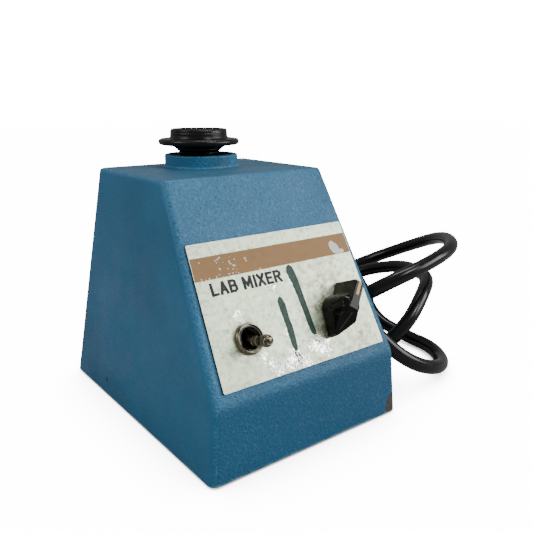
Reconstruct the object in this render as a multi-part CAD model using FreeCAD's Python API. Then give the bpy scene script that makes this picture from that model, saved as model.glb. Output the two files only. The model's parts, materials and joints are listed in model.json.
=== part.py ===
import FreeCAD, Part
import math
import os

# Vortex mixer, millimetres. +Z up, +X to the right seen from the front, the front faces -Y.
# The origin is the centre of the rectangle covered by the housing, on the surface it stands on.

V = FreeCAD.Vector
ORIGIN = V(0, 0, 0)

# ---- Housing ----
EDGE_Z = 1.2
TOP_Z = 133.5
BASE_W = 123.5
BASE_D = 164.5
TOP_W = 102.0
TOP_FRONT_Y = -26.5
TOP_BACK_Y = 50.0
BREAK_Y = -80.8
BREAK_Z = 37.5
WALL = 3.0
CORNER_R = 4.0
BREAK_R = 12.0
TOP_EDGE_R = 2.5
POST_R = 4.2
POST_TOP_Z = 22.0
POST_HOLE_R = 1.5
BASE_SCREW_X = 54.2
BASE_SCREW_Y = (-75.2, 72.5)

# ---- Spindle axis and the collar round it ----
SPIN_X = 2.1
SPIN_Y = 24.2
COLLAR_Z = 140.4
COLLAR_R = 21.2
COLLAR_BORE_R = 18.4

# ---- Sloped panel: x to the right, s up the slope from the break, h outward ----
SLOPE_DY = TOP_FRONT_Y - BREAK_Y
SLOPE_DZ = TOP_Z - BREAK_Z
SLOPE_DEG = math.degrees(math.atan2(SLOPE_DZ, SLOPE_DY))
PLATE_T = 1.0
PLATE_LOW_S = 6.5
PLATE_HIGH_S = 77.0
PLATE_LOW_W = 103.7
PLATE_HIGH_W = 98.7
TOGGLE_X = -30.8
TOGGLE_S = 27.5
KNOB_X = 25.0
KNOB_S = 29.5

# ---- Toggle switch ----
BUSH_R = 5.9
BUSH_BORE_R = 4.0
TOGGLE_PIVOT_H = -3.6
TOGGLE_LEN = 18.8
TOGGLE_LEAN = 11.0
TOGGLE_JOINT_R = 3.5
TOGGLE_BALL_R = 2.8

# ---- Speed control and knob ----
POT_BUSH_R = 4.0
POT_SHAFT_R = 3.0
KNOB_ANGLE = 55.0
KNOB_BASE_H = 1.6
KNOB_TOP_H = 20.0
KNOB_HUB_R = 8.2
KNOB_TIP = 15.2
KNOB_TAIL = 15.4
KNOB_FIN_HALF = 2.5

# ---- Base ----
PLATE_Z = (1.4, 3.0)
FOOT_X = 46.0
FOOT_Y = 62.0

# ---- Motor ----
SHAFT_R = 4.0
RUN = 0.03
POST_DX = 34.0
POST_DY = 12.0
BOLT_DX = 27.5
BOLT_DY = 25.5
STATOR_X = 31.0
STATOR_Y = 29.0
STATOR_Z = (52.0, 76.0)
LOWER_Z = (30.0, 33.0)
UPPER_Z = (86.0, 89.0)
UPPER_BOSS_Z = 96.6

# ---- Head ----
ORBIT_R = 2.5
ORBIT_PHASE = 212.0
HUB_SCREW_Z = 104.0
PIN_X = SPIN_X + ORBIT_R * math.cos(math.radians(ORBIT_PHASE))
PIN_Y = SPIN_Y + ORBIT_R * math.sin(math.radians(ORBIT_PHASE))
CUP_TOP_Z = 154.9
FLANGE_Z = 147.6
FLANGE_R = 23.25

# ---- Cord: out of the right-hand wall, square to it, four loose loops beside the housing, plug behind ----
CORD_D = 9.0
SIDE_LEAN = (BASE_W - TOP_W) / 2 / (TOP_Z - EDGE_Z)
GLAND_Y = 50.0
GLAND_Z = 36.0
GLAND_X = BASE_W / 2 - SIDE_LEAN * (GLAND_Z - EDGE_Z)
CORD_START = 3.0
CORD_STRAIGHT = 35.0
CORD_ROUTE = [
    (126, 64, 29), (158, 65, 33), (183, 48, 45),
    (192, 20, 59), (187, -8, 71), (171, -31, 76), (148, -50, 76), (115, -55, 71),
    (86, -46, 61), (68, -20, 40), (66, 6, 21), (74, 29, 12), (91, 47, 11),
    (112, 56, 18), (134, 53, 28), (153, 36, 41), (159, 5, 51), (152, -18, 54),
    (138, -40, 55), (118, -52, 51), (99, -57, 37), (83, -50, 21), (71, -32, 9),
    (66, -6, 6), (68, 27, 7), (71, 59, 7), (81, 87, 6), (102, 104, 6),
    (129, 107, 7), (153, 95, 7), (166, 72, 6), (164, 45, 5), (148, 23, 5),
    (123, 9, 13), (95, 9, 29), (70, 30, 47), (66, 68, 54), (91, 98, 55),
    (129, 100, 54), (157, 73, 48), (157, 38, 31), (142, 12, 12), (145, -18, 5),
    (144, -42, 5), (131, -62, 5), (111, -73, 9), (89, -73, 17), (72, -64, 31),
    (65, -48, 48), (68, -23, 60), (69, 5, 56), (67, 26, 38), (67, 44, 22),
    (69, 66, 14), (72, 89, 13), (72, 112, 13),
]
TIE_Y = (52.0, 58.0)
TIE_ROUND = (V(71.0, TIE_Y[0], 7.0), V(68.0, TIE_Y[0], 18.1))
TIE_BORE_R = 6.1
TIE_T = 0.6


# ---------------------------------------------------------------- helpers


def save(node, *solids):
    """Writes one node, as a single solid or as a group of separate ones."""
    shape = solids[0] if len(solids) == 1 else Part.makeCompound(list(solids))
    shape.exportStep("parts/" + node + ".step")
    print(node, len(shape.Solids), round(shape.Volume, 1), shape.isValid())


def cyl(r, z0, z1, x=0.0, y=0.0):
    return Part.makeCylinder(r, z1 - z0, V(x, y, z0))


def ring(r_out, r_in, z0, z1, x=0.0, y=0.0):
    return cyl(r_out, z0, z1, x, y).cut(cyl(r_in, z0 - 1, z1 + 1, x, y))


def box(x0, x1, y0, y1, z0, z1):
    return Part.makeBox(x1 - x0, y1 - y0, z1 - z0, V(x0, y0, z0))


def rounded_box(x0, x1, y0, y1, z0, z1, r):
    """A box with rounded upright edges."""
    b = box(x0, x1, y0, y1, z0, z1)
    upright = [e for e in b.Edges if abs(e.tangentAt(e.FirstParameter).z) > 0.9]
    return b.makeFillet(r, upright)


def revolved(outline, x=0.0, y=0.0):
    """A closed (radius, height) outline turned about an upright axis at x, y."""
    points = [V(r, 0, z) for r, z in outline]
    face = Part.Face(Part.makePolygon(points + [points[0]]))
    solid = face.revolve(ORIGIN, V(0, 0, 1), 360)
    solid.translate(V(x, y, 0))
    return solid


def prism(outline, plane, low, high):
    """A closed outline pushed along x, y or z from low to high."""
    place = {
        "x": lambda a, b: V(low, a, b),
        "y": lambda a, b: V(a, low, b),
        "z": lambda a, b: V(a, b, low),
    }[plane]
    along = {"x": V(1, 0, 0), "y": V(0, 1, 0), "z": V(0, 0, 1)}[plane]
    points = [place(a, b) for a, b in outline]
    face = Part.Face(Part.makePolygon(points + [points[0]]))
    return face.extrude(along * (high - low))


def hexagon(flats, z0, z1, x=0.0, y=0.0):
    r = flats / math.sqrt(3)
    corners = []
    for k in range(6):
        a = math.radians(60 * k)
        corners.append((x + r * math.cos(a), y + r * math.sin(a)))
    return prism(corners, "z", z0, z1)


def on_panel(shape, x, s):
    """Carries a shape from its own axes (right, up the slope, outward) onto the sloped panel."""
    placed = shape.copy()
    placed.rotate(ORIGIN, V(1, 0, 0), SLOPE_DEG)
    up = math.radians(SLOPE_DEG)
    placed.translate(V(x, BREAK_Y + s * math.cos(up), BREAK_Z + s * math.sin(up)))
    return placed


def four(x, y_low, y_high):
    return [(sx * x, y) for sx in (-1, 1) for y in (y_low, y_high)]


def around_spindle(dx, dy):
    return [(SPIN_X + sx * dx, SPIN_Y + sy * dy) for sx in (-1, 1) for sy in (-1, 1)]


def tube(points, d):
    """A round tube along straight runs joined by tangent arcs."""
    edges = []
    radii = []
    start = points[0]
    for before, corner, after in zip(points, points[1:], points[2:]):
        back = before - corner
        ahead = after - corner
        short = min(back.Length, ahead.Length)
        turn = math.pi - back.getAngle(ahead)
        reach = 0.45 * short
        radii.append(reach / math.tan(turn / 2))
        u = V(back).normalize()
        w = V(ahead).normalize()
        bisector = (u + w).normalize()
        inner = reach / math.cos((math.pi - turn) / 2) - radii[-1]
        arc_start = corner + u * reach
        arc_end = corner + w * reach
        if (arc_start - start).Length > 1e-6:
            edges.append(Part.LineSegment(start, arc_start).toShape())
        edges.append(Part.Arc(arc_start, corner + bisector * inner, arc_end).toShape())
        start = arc_end
    edges.append(Part.LineSegment(start, points[-1]).toShape())
    path = Part.Wire(edges)
    circle = Part.Circle(points[0], points[1] - points[0], d / 2).toShape()
    solid = path.makePipeShell([Part.Wire([circle])], True, False, 2)
    return solid, path.Length, radii


# ---------------------------------------------------------------- housing


def moved_in(outline, insets):
    """A convex outline, anticlockwise, with each side moved inwards by its own distance."""
    sides = []
    count = len(outline)
    for k in range(count):
        a = outline[k]
        b = outline[(k + 1) % count]
        length = math.hypot(b[0] - a[0], b[1] - a[1])
        normal = (-(b[1] - a[1]) / length, (b[0] - a[0]) / length)
        offset = normal[0] * a[0] + normal[1] * a[1] + insets[k]
        sides.append((normal, offset))
    corners = []
    for k in range(count):
        (n1, d1), (n2, d2) = sides[k - 1], sides[k]
        det = n1[0] * n2[1] - n1[1] * n2[0]
        corners.append(((d1 * n2[1] - d2 * n1[1]) / det, (n1[0] * d2 - n2[0] * d1) / det))
    return corners


def body_block(inset, below):
    """The housing's outer form, moved in by inset and carried on below its lower edge."""
    half = BASE_D / 2
    side = [(-half, EDGE_Z), (half, EDGE_Z), (TOP_BACK_Y, TOP_Z), (TOP_FRONT_Y, TOP_Z), (BREAK_Y, BREAK_Z)]
    front = [(-BASE_W / 2, EDGE_Z), (BASE_W / 2, EDGE_Z), (TOP_W / 2, TOP_Z), (-TOP_W / 2, TOP_Z)]
    side = moved_in(side, [-below, inset, inset, inset, inset])
    front = moved_in(front, [-below, inset, inset, inset])
    return prism(side, "x", -BASE_W, BASE_W).common(prism(front, "y", -BASE_D, BASE_D))


def cast_housing():
    block = body_block(0.0, 0.0)
    fold = [e for e in block.Edges if abs(e.CenterOfMass.z - BREAK_Z) < 0.1 and abs(e.CenterOfMass.x) < 0.1]
    block = block.makeFillet(BREAK_R, fold)
    inside = (EDGE_Z + 0.5, TOP_Z - 0.5)
    corners = [
        e for e in block.Edges
        if inside[0] < e.CenterOfMass.z < inside[1] and abs(e.CenterOfMass.x) > TOP_W / 2 - 1
    ]
    block = block.makeFillet(CORNER_R, corners)
    rim = [e for e in block.Edges if e.CenterOfMass.z > TOP_Z - 0.01]
    block = block.makeFillet(TOP_EDGE_R, rim)
    collar = cyl(COLLAR_R, TOP_Z - 1.0, COLLAR_Z, SPIN_X, SPIN_Y)
    lip = [e for e in collar.Edges if e.CenterOfMass.z > COLLAR_Z - 0.01]
    shell = block.fuse(collar.makeFillet(0.9, lip))
    root = [
        e for e in shell.Edges
        if hasattr(e.Curve, "Radius") and abs(e.Curve.Radius - COLLAR_R) < 0.01
        and abs(e.CenterOfMass.z - TOP_Z) < 0.01
    ]
    shell = shell.makeFillet(1.2, root)
    shell = shell.cut(body_block(WALL, 5.0))
    shell = shell.cut(cyl(COLLAR_BORE_R, TOP_Z - 10, COLLAR_Z + 1, SPIN_X, SPIN_Y))
    for x, y in four(BASE_SCREW_X, *BASE_SCREW_Y):
        shell = shell.fuse(cyl(POST_R, PLATE_Z[1] + 0.1, POST_TOP_Z, x, y))
        shell = shell.cut(cyl(POST_HOLE_R, 0, 14.0, x, y))
    shell = shell.cut(on_panel(cyl(BUSH_R + 0.1, -10, 10), TOGGLE_X, TOGGLE_S))
    shell = shell.cut(on_panel(cyl(POT_BUSH_R + 0.1, -10, 10), KNOB_X, KNOB_S))
    return shell.cut(at_gland(cyl(6.6, -10, 10)))


def base_plate():
    plate = rounded_box(-58.2, 58.2, -78.9, 78.4, PLATE_Z[0], PLATE_Z[1], 3.0)
    for x, y in four(BASE_SCREW_X, *BASE_SCREW_Y):
        plate = plate.cut(cyl(1.7, 0, 5, x, y))
    for x, y in four(FOOT_X, -FOOT_Y, FOOT_Y):
        plate = plate.cut(cyl(3.0, 0, 5, x, y))
    for x, y in around_spindle(POST_DX, POST_DY):
        plate = plate.cut(cyl(1.6, 0, 5, x, y))
    return plate


def rubber_foot(x, y):
    outline = [
        (0, 0), (7.2, 0), (8.0, 0.7), (8.0, 1.35), (2.9, 1.35),
        (2.9, 3.1), (4.4, 3.2), (2.6, 6.0), (0, 6.0),
    ]
    return revolved(outline, x, y)


def pan_screw(x, y, head_r, head_z, shank_r, tip_z):
    """A pan-head screw driven upwards, its head from head_z[0] to head_z[1]."""
    low, high = head_z
    head = cyl(head_r, low, high, x, y)
    slot = box(x - head_r, x + head_r, y - 0.4, y + 0.4, low - 1, low + 0.35)
    return head.cut(slot).fuse(cyl(shank_r, high - 0.1, tip_z, x, y))


# ---------------------------------------------------------------- panel


def panel_plate():
    low = PLATE_LOW_W / 2
    high = PLATE_HIGH_W / 2
    outline = [(-low, PLATE_LOW_S), (low, PLATE_LOW_S), (high, PLATE_HIGH_S), (-high, PLATE_HIGH_S)]
    plate = prism(outline, "z", 0.0, PLATE_T)
    corners = [e for e in plate.Edges if e.Length < PLATE_T + 0.01]
    plate = plate.makeFillet(1.0, corners)
    plate = plate.cut(cyl(BUSH_R + 0.1, -1, 5, TOGGLE_X, TOGGLE_S))
    plate = plate.cut(cyl(POT_BUSH_R + 0.1, -1, 5, KNOB_X, KNOB_S))
    return on_panel(plate, 0, 0)


def toggle_switch_body():
    case = rounded_box(-6.5, 6.5, -14.0, 14.0, -24.0, -6.4, 1.0)
    bushing = cyl(BUSH_R, -6.5, 3.3)
    body = case.fuse(bushing)
    body = body.cut(cyl(BUSH_BORE_R, -7.4, 5))
    body = body.cut(Part.makeCone(BUSH_BORE_R - 0.2, BUSH_BORE_R + 1.6, 1.8, V(0, 0, 1.6)))
    body = body.cut(box(-2.2, 2.2, -4.5, 4.5, -13.0, -6))
    for y in (-9.5, 0.0, 9.5):
        body = body.fuse(box(-2.4, 2.4, y - 0.4, y + 0.4, -31.0, -23.9))
    return on_panel(body, TOGGLE_X, TOGGLE_S)


def toggle_lock_nut():
    nut = hexagon(14.0, -5.4, -3.1).cut(cyl(BUSH_R + 0.05, -9, 0))
    return on_panel(nut, TOGGLE_X, TOGGLE_S)


def toggle_dress_nut():
    nut = revolved([
        (6.0, 1.05), (7.5, 1.05), (7.75, 1.4), (7.65, 2.6), (7.2, 3.4), (6.9, 3.75),
        (6.6, 3.75), (6.4, 3.3), (6.3, 2.5), (6.0, 2.5),
    ])
    return on_panel(nut, TOGGLE_X, TOGGLE_S)


def toggle_lever():
    pivot = V(0, 0, TOGGLE_PIVOT_H)
    lever = Part.makeSphere(TOGGLE_JOINT_R, pivot)
    pin = Part.makeCylinder(0.9, 2 * TOGGLE_JOINT_R + 0.5, pivot - V(TOGGLE_JOINT_R + 0.25, 0, 0), V(1, 0, 0))
    neck = Part.makeCone(1.75, 2.05, TOGGLE_LEN, pivot)
    tip = Part.makeSphere(TOGGLE_BALL_R, pivot + V(0, 0, TOGGLE_LEN))
    tail = cyl(1.2, TOGGLE_PIVOT_H - 6.0, TOGGLE_PIVOT_H)
    lever = lever.fuse(neck).fuse(tip).fuse(tail).fuse(pin)
    lever.rotate(pivot, V(1, 0, 0), TOGGLE_LEAN)
    return on_panel(lever, TOGGLE_X, TOGGLE_S)


def speed_control_body():
    body = cyl(12.0, -18.0, -5.6).fuse(cyl(POT_BUSH_R, -5.7, 3.2))
    body = body.cut(cyl(POT_SHAFT_R + RUN, -12.0, 5))
    for x in (-5.0, 0.0, 5.0):
        body = body.fuse(box(x - 1.2, x + 1.2, -17.0, -11.0, -16.0, -15.4))
    return on_panel(body, KNOB_X, KNOB_S)


def speed_control_nut():
    nut = hexagon(10.5, 1.05, 3.0).cut(cyl(POT_BUSH_R + 0.05, 0, 5))
    return on_panel(nut, KNOB_X, KNOB_S)


def speed_control_shaft():
    return on_panel(cyl(POT_SHAFT_R, -11.7, 13.8), KNOB_X, KNOB_S)


def knob_body(lift=0.0):
    """A round hub, a pointed beak and a tall fin behind it. The beak points along -x before it is turned."""
    hub = revolved([
        (0, KNOB_BASE_H), (KNOB_HUB_R, KNOB_BASE_H), (KNOB_HUB_R, 2.8), (7.4, 8.0),
        (6.3, 12.6), (5.3, 15.6), (3.6, 17.2 + lift), (0, 17.8 + lift),
    ])
    beak_side = [
        (-KNOB_TIP, KNOB_BASE_H), (0, KNOB_BASE_H), (0, 18.4 + lift), (-3.0, 18.1 + lift),
        (-6.0, 16.6 + lift), (-13.4, 8.6 + lift), (-14.8, 6.8 + lift),
    ]
    beak_plan = [(-KNOB_TIP, -1.0), (-4.0, -7.1), (0, -8.0), (0, 8.0), (-4.0, 7.1), (-KNOB_TIP, 1.0)]
    beak_cross = [
        (-8.2, KNOB_BASE_H), (8.2, KNOB_BASE_H), (4.9, 15.0), (KNOB_FIN_HALF, 19.0 + lift),
        (-KNOB_FIN_HALF, 19.0 + lift), (-4.9, 15.0),
    ]
    beak = prism(beak_side, "y", -9, 9).common(prism(beak_cross, "x", -20, 20))
    beak = beak.common(prism(beak_plan, "z", 0, 30))
    fin_side = [
        (-3.0, KNOB_BASE_H), (KNOB_TAIL, KNOB_BASE_H), (12.5, 18.9 + lift), (11.4, KNOB_TOP_H + lift),
        (-3.0, 18.1 + lift),
    ]
    fin_cross = [
        (-2.7, KNOB_BASE_H), (2.7, KNOB_BASE_H), (KNOB_FIN_HALF, 19.4 + lift), (1.7, 20.6 + lift),
        (-1.7, 20.6 + lift), (-KNOB_FIN_HALF, 19.4 + lift),
    ]
    fin = prism(fin_side, "y", -4, 4).common(prism(fin_cross, "x", -20, 20))
    return hub.fuse(beak).fuse(fin)


def knob_line_blocks():
    """The inlaid line along the ridge: a wide stretch on the fin and a narrow one down the beak."""
    skin = knob_body(0.05).cut(knob_body(-0.35))
    blocks = []
    for start, end, half in ((4.5, 12.0, 0.9), (-13.0, -5.0, 0.4)):
        block = box(start, end, -half, half, 5.0, 40.0).common(skin)
        blocks.append(max(block.Solids, key=lambda solid: solid.Volume))
    return blocks


def speed_knob():
    knob = knob_body()
    knob = knob.cut(cyl(6.5, 0, 4.6))
    knob = knob.cut(cyl(POT_SHAFT_R, 0, 13.8))
    for block in knob_line_blocks():
        knob = knob.cut(block)
    knob = knob.cut(Part.makeCylinder(2.0, 14, V(0, 0, 8.5), V(0, -1, 0)))
    knob.rotate(ORIGIN, V(0, 0, 1), KNOB_ANGLE)
    return on_panel(knob, KNOB_X, KNOB_S)


def knob_indicator_line():
    lines = knob_line_blocks()
    for line in lines:
        line.rotate(ORIGIN, V(0, 0, 1), KNOB_ANGLE)
    return [on_panel(line, KNOB_X, KNOB_S) for line in lines]


def knob_set_screw():
    screw = Part.makeCylinder(1.95, 4.0, V(0, -3.05, 8.5), V(0, -1, 0))
    screw = screw.cut(box(-3, 3, -9, -6.4, 8.2, 8.8))
    screw.rotate(ORIGIN, V(0, 0, 1), KNOB_ANGLE)
    return on_panel(screw, KNOB_X, KNOB_S)


# ---------------------------------------------------------------- press-to-run parts under the shaft


def at_spindle(shape):
    placed = shape.copy()
    placed.translate(V(SPIN_X, SPIN_Y, 0))
    return placed


def plunger_guide():
    guide = cyl(11.0, 3.0, 11.0).cut(cyl(8.5, 5.5, 12.0)).cut(cyl(3.05, 2.0, 12.0))
    return at_spindle(guide.cut(box(0, 12, -2.6, 2.6, 9.4, 12)))


def thrust_plunger():
    plunger = cyl(3.0, 4.8, 12.1).fuse(cyl(7.5, 12.0, 14.0)).fuse(cyl(5.5, 13.9, 16.6))
    plunger = plunger.fuse(box(5.0, 20.0, -2.0, 2.0, 12.0, 13.8))
    return at_spindle(plunger.cut(Part.makeSphere(3.02, V(0, 0, 15.5))))


def thrust_ball():
    return at_spindle(Part.makeSphere(3.0, V(0, 0, 15.5)))


def return_spring():
    """A round-wire compression spring between the guide's floor and the plunger's flange."""
    mean_r = 5.6
    wire_r = 0.45
    low = 5.5 + wire_r
    rise = 12.0 - 5.5 - 2 * wire_r
    helix = Part.makeHelix(rise / 3.5, rise, mean_r)
    circle = Part.Circle(V(mean_r, 0, 0), V(0, 1, 0), wire_r).toShape()
    spring = Part.Wire(helix.Edges).makePipeShell([Part.Wire([circle])], True, True)
    spring.translate(V(0, 0, low))
    return at_spindle(spring)


def touch_switch():
    case = box(14.8, 21.2, -10.0, 10.0, 3.0, 10.2).cut(box(16.4, 19.6, -1.8, 1.8, 6.6, 11))
    for y in (-7.0, 7.0):
        case = case.cut(cyl(1.05, 2, 12, 18.0, y))
        case = case.fuse(box(20.9, 25.0, y - 1.2, y + 1.2, 5.0, 5.5))
    return at_spindle(case)


def touch_switch_screws():
    screws = []
    for y in (-7.0, 7.0):
        head = ring(1.9, 0.5, 10.25, 11.4, 18.0, y)
        screws.append(at_spindle(head.fuse(cyl(1.0, 3.1, 10.3, 18.0, y))))
    return screws


def touch_switch_button():
    return at_spindle(box(16.9, 19.1, -1.4, 1.4, 8.6, 12.0))


# ---------------------------------------------------------------- motor


def motor_posts():
    posts = []
    for x, y in around_spindle(POST_DX, POST_DY):
        post = hexagon(8.0, PLATE_Z[1], 27.0, x, y)
        posts.append(post.cut(cyl(1.55, 2, 10, x, y)).cut(cyl(2.0, 17, 28, x, y)))
    return posts


def motor_grommets():
    outline = [
        (2.1, 27.0), (7.0, 27.0), (7.4, 28.5), (6.6, 29.95), (4.9, 29.95), (4.9, 33.05),
        (6.6, 33.05), (7.4, 34.5), (7.0, 36.0), (2.1, 36.0),
    ]
    return [revolved(outline, x, y) for x, y in around_spindle(POST_DX, POST_DY)]


def motor_mount_screws():
    screws = []
    for x, y in around_spindle(POST_DX, POST_DY):
        washer = cyl(6.0, 36.0, 36.8, x, y)
        head = hexagon(6.4, 36.7, 39.4, x, y)
        screws.append(washer.fuse(head).fuse(cyl(1.95, 19.0, 36.5, x, y)))
    return screws


def lower_bracket():
    plate = rounded_box(-40.0, 40.0, -30.0, 30.0, LOWER_Z[0], LOWER_Z[1], 4.0)
    plate = plate.fuse(cyl(10.0, 24.0, LOWER_Z[1])).cut(cyl(7.0, 20, 40))
    for sx in (-1, 1):
        plate = plate.cut(rounded_box(min(sx * 13, sx * 23), max(sx * 13, sx * 23), -18, 18, 20, 40, 4.0))
        for sy in (-1, 1):
            plate = plate.cut(cyl(5.0, 20, 40, sx * POST_DX, sy * POST_DY))
            plate = plate.cut(cyl(1.8, 20, 40, sx * BOLT_DX, sy * BOLT_DY))
    return at_spindle(plate)


def upper_bracket():
    plate = rounded_box(-STATOR_X, STATOR_X, -STATOR_Y, STATOR_Y, UPPER_Z[0], UPPER_Z[1], 3.0)
    plate = plate.fuse(cyl(10.0, UPPER_Z[0], UPPER_BOSS_Z)).cut(cyl(7.0, 80, 100))
    for sx in (-1, 1):
        plate = plate.cut(rounded_box(min(sx * 13, sx * 24), max(sx * 13, sx * 24), -16, 16, 80, 100, 4.0))
        for sy in (-1, 1):
            plate = plate.cut(cyl(1.8, 80, 100, sx * BOLT_DX, sy * BOLT_DY))
    return at_spindle(plate)


def bearing(z0, z1):
    return at_spindle(ring(7.0, SHAFT_R + RUN, z0, z1))


def stator_core():
    yoke = rounded_box(-STATOR_X, STATOR_X, -STATOR_Y, STATOR_Y, *STATOR_Z, 3.0)
    yoke = yoke.cut(box(-25, 25, -23, 23, STATOR_Z[0] - 1, STATOR_Z[1] + 1))
    shoes = ring(19.0, 15.5, *STATOR_Z)
    shoes = shoes.cut(box(-10.5, 10.5, -30, 30, STATOR_Z[0] - 1, STATOR_Z[1] + 1))
    for sx in (-1, 1):
        yoke = yoke.fuse(box(min(sx * 17.6, sx * 25.5), max(sx * 17.6, sx * 25.5), -8, 8, *STATOR_Z))
    core = yoke.fuse(shoes)
    for sx in (-1, 1):
        for sy in (-1, 1):
            core = core.cut(cyl(1.8, 0, 100, sx * BOLT_DX, sy * BOLT_DY))
    return at_spindle(core)


def field_coils():
    coils = []
    for sx in (-1, 1):
        x0, x1 = sorted((sx * 19.4, sx * 24.6))
        outer = box(x0, x1, -13.4, 13.4, STATOR_Z[0] - 5.4, STATOR_Z[1] + 5.4)
        across = [e for e in outer.Edges if abs(e.tangentAt(e.FirstParameter).x) > 0.9]
        outer = outer.makeFillet(3.0, across)
        hole = box(x0 - 1, x1 + 1, -8.2, 8.2, STATOR_Z[0] - 0.2, STATOR_Z[1] + 0.2)
        coils.append(at_spindle(outer.cut(hole)))
    return coils


def motor_spacers():
    spacers = []
    for x, y in around_spindle(BOLT_DX, BOLT_DY):
        spacers.append(ring(3.4, 1.8, LOWER_Z[1], STATOR_Z[0], x, y))
        spacers.append(ring(3.4, 1.8, STATOR_Z[1], UPPER_Z[0], x, y))
    return spacers


def motor_bolts():
    bolts = []
    for x, y in around_spindle(BOLT_DX, BOLT_DY):
        bolt = cyl(1.7, LOWER_Z[0] - 4.0, UPPER_Z[1] + 0.1, x, y)
        bolts.append(bolt.fuse(hexagon(5.5, UPPER_Z[1], UPPER_Z[1] + 2.4, x, y)))
    return bolts


def motor_nuts():
    nuts = []
    for x, y in around_spindle(BOLT_DX, BOLT_DY):
        nuts.append(hexagon(5.5, LOWER_Z[0] - 2.6, LOWER_Z[0], x, y).cut(cyl(1.75, 20, 40, x, y)))
    return nuts


def motor_shaft():
    return at_spindle(cyl(SHAFT_R, 18.52, 108.0))


def rotor_core():
    core = ring(15.0, SHAFT_R, *STATOR_Z)
    for z in STATOR_Z:
        core = core.fuse(ring(14.0, 9.0, z - 1.5, z + 1.5))
    return at_spindle(core)


def cooling_fan():
    fan = cyl(7.0, 36.0, 42.0)
    blade_count = 9
    for k in range(blade_count):
        blade = box(5.0, 24.5, -0.6, 0.6, 36.2, 41.8)
        blade.rotate(V(15, 0, 39), V(1, 0, 0), 32)
        blade.rotate(ORIGIN, V(0, 0, 1), 360.0 * k / blade_count)
        fan = fan.fuse(blade)
    return at_spindle(fan.cut(cyl(SHAFT_R, 30, 50)))


# ---------------------------------------------------------------- orbiting head


def eccentric_hub():
    """Hub on the shaft with the offset pin above it and a counterweight on the other side."""
    hub = cyl(12.0, 98.9, 114.0)
    away = ORBIT_PHASE + 180
    sector = cyl(25.0, 99.0, 109.0).cut(box(-30, 4.0, -30, 30, 90, 120))
    sector.rotate(ORIGIN, V(0, 0, 1), away)
    hub = at_spindle(hub.fuse(sector))
    hub = hub.fuse(cyl(SHAFT_R, 113.9, 132.0, PIN_X, PIN_Y))
    hub = hub.cut(at_spindle(cyl(SHAFT_R, 90, 108.0)))
    hub = hub.cut(ring(SHAFT_R + 1, SHAFT_R - 0.6, 130.2, 131.2, PIN_X, PIN_Y))
    screw_hole = Part.makeCylinder(2.0, 20, V(0, 0, HUB_SCREW_Z), V(-1, 0, 0))
    screw_hole.rotate(ORIGIN, V(0, 0, 1), away)
    return hub.cut(at_spindle(screw_hole))


def eccentric_set_screw():
    screw = Part.makeCylinder(1.95, 7.0, V(-4.05, 0, HUB_SCREW_Z), V(-1, 0, 0))
    screw = screw.cut(hexagon_socket(-11.1))
    screw.rotate(ORIGIN, V(0, 0, 1), ORBIT_PHASE + 180)
    return at_spindle(screw)


def hexagon_socket(x):
    socket = hexagon(2.0, 0, 2.5)
    socket.rotate(ORIGIN, V(0, 1, 0), 90)
    socket.translate(V(x, 0, HUB_SCREW_Z))
    return socket


def pin_retaining_ring():
    clip = ring(5.4, SHAFT_R - 0.55, 130.3, 131.1, PIN_X, PIN_Y)
    return clip.cut(box(PIN_X, PIN_X + 8, PIN_Y - 1.6, PIN_Y + 1.6, 129, 133))


def cup_bushing():
    return ring(6.0, SHAFT_R + RUN, 115.0, 129.9, PIN_X, PIN_Y)


def cup_holder():
    holder = cyl(12.0, 114.7, 135.2, PIN_X, PIN_Y)
    holder = holder.fuse(cyl(6.0, 135.1, 143.8, PIN_X, PIN_Y))
    return holder.cut(cyl(6.0, 114, 133.0, PIN_X, PIN_Y))


def splash_disc():
    return ring(15.3, 12.0, 130.8, 132.4, PIN_X, PIN_Y)


def rubber_cup():
    roll = 1.75
    outline = [
        (6.1, 135.6), (10.6, 135.6), (11.1, 141.6), (14.4, 145.2), (19.5, FLANGE_Z - roll),
    ]
    for k in range(9):
        a = math.radians(-90 + 22.5 * k)
        outline.append((FLANGE_R - roll + roll * math.cos(a), FLANGE_Z + roll * math.sin(a)))
    outline += [
        (17.2, 149.5), (16.6, 150.1), (16.4, 153.9), (15.9, 154.6), (15.2, CUP_TOP_Z),
        (14.4, 154.5), (12.4, 151.6), (9.0, 148.4), (5.0, 146.9), (0, 146.4), (0, 144.1), (6.1, 144.1),
    ]
    return revolved(outline, PIN_X, PIN_Y)


# ---------------------------------------------------------------- wiring and cord


def at_gland(shape):
    """Carries a shape from an upright axis onto the cord's exit, square to the leaning wall."""
    placed = shape.copy()
    placed.rotate(ORIGIN, V(0, 1, 0), 90 - math.degrees(math.atan(SIDE_LEAN)))
    placed.translate(V(GLAND_X, GLAND_Y, GLAND_Z))
    return placed


def strain_relief():
    return at_gland(revolved([
        (4.55, -8.0), (8.4, -8.0), (8.4, -3.3), (6.5, -3.3), (6.5, 0.1), (8.6, 0.1), (8.6, 2.2),
        (7.4, 3.8), (4.55, 3.8),
    ]))


def cord_points():
    out = V(1, 0, SIDE_LEAN).normalize()
    gland = V(GLAND_X, GLAND_Y, GLAND_Z)
    return [gland + out * CORD_START, gland + out * CORD_STRAIGHT] + [V(*p) for p in CORD_ROUTE]


def power_cord():
    cord, length, radii = tube(cord_points(), CORD_D)
    print("cord length", round(length), "smallest radius", round(min(radii), 1))
    print("cord radii", [round(r) for r in radii])
    return cord


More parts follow.
